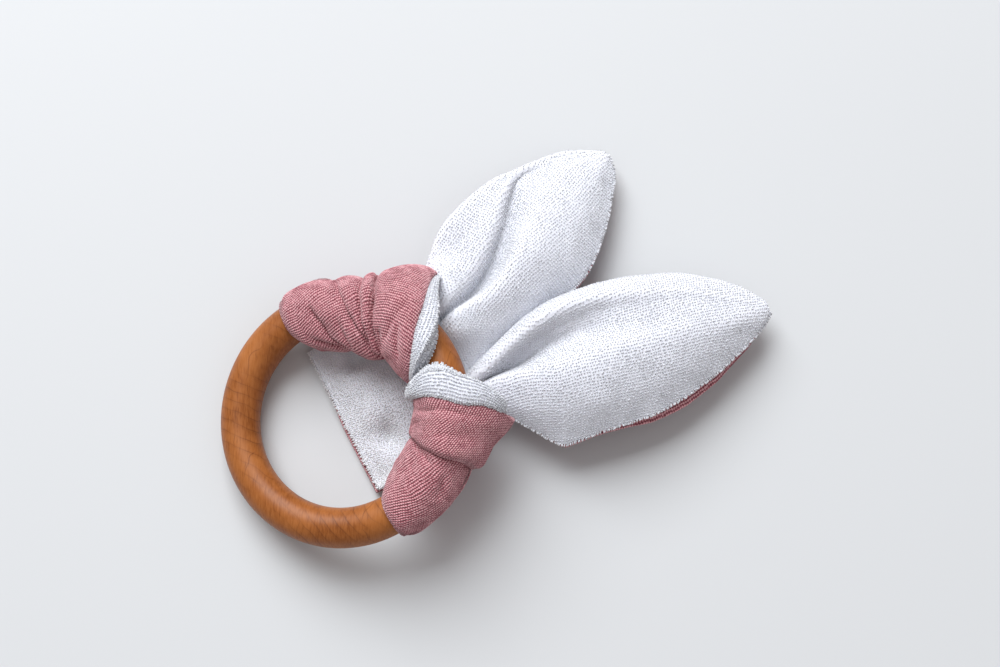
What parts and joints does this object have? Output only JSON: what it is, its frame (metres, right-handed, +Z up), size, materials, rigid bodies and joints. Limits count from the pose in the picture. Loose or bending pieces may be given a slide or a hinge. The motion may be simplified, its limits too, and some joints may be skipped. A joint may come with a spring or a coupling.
{
  "type": "teething ring",
  "caption": "Wooden teething ring with a two-sided cloth strip knotted on it, whose leaf-shaped ends stand out as two soft ears.",
  "frame": {"origin": "centre of the toy's box, on the surface that it lies on", "axes": "+Z up from that surface, +X from the bare side of the ring towards the lower ear's tip, +Y towards the upper ear"},
  "size_m": [0.1496, 0.1093, 0.0326],
  "materials": {
    "beech": "sanded beech with a satin oil and wax finish",
    "terry": "white cotton terry, looped pile",
    "muslin": "dusty rose cotton double gauze, crinkled and matt",
    "thread": "rose polyester sewing thread"
  },
  "bodies": {
    "knot": {"bight_terry": "terry", "bight_muslin": "muslin", "bight_seam": "thread", "closing_stitches": "thread", "upper_wrap_muslin": "muslin", "upper_wrap_terry": "terry", "upper_cuff": "terry", "lower_wrap_muslin": "muslin", "lower_wrap_terry": "terry", "lower_cuff": "terry", "upper_neck_terry": "terry", "upper_neck_muslin": "muslin", "lower_neck_terry": "terry", "lower_neck_muslin": "muslin"},
    "ring": {"ring": "beech"},
    "upper_ear": {"upper_ear_terry": "terry", "upper_ear_muslin": "muslin", "upper_ear_seam": "thread"},
    "lower_ear": {"lower_ear_terry": "terry", "lower_ear_muslin": "muslin", "lower_ear_seam": "thread"}
  },
  "joints": [
    {"name": "ring_turn", "type": "hinge", "parent": "knot", "child": "ring", "pos_m": [-0.0409, -0.0196, 0.01324], "axis": [-0.2672, 0, 0.9636], "continuous": true},
    {"name": "upper_ear_lift", "type": "hinge", "parent": "knot", "child": "upper_ear", "pos_m": [-0.0026, 0.0108, 0.008], "axis": [0.8039, -0.5948, 0], "range_deg": [0, 60]},
    {"name": "lower_ear_lift", "type": "hinge", "parent": "knot", "child": "lower_ear", "pos_m": [0.0068, -0.0124, 0.008], "axis": [0.3223, -0.9466, 0], "range_deg": [0, 60]}
  ]
}
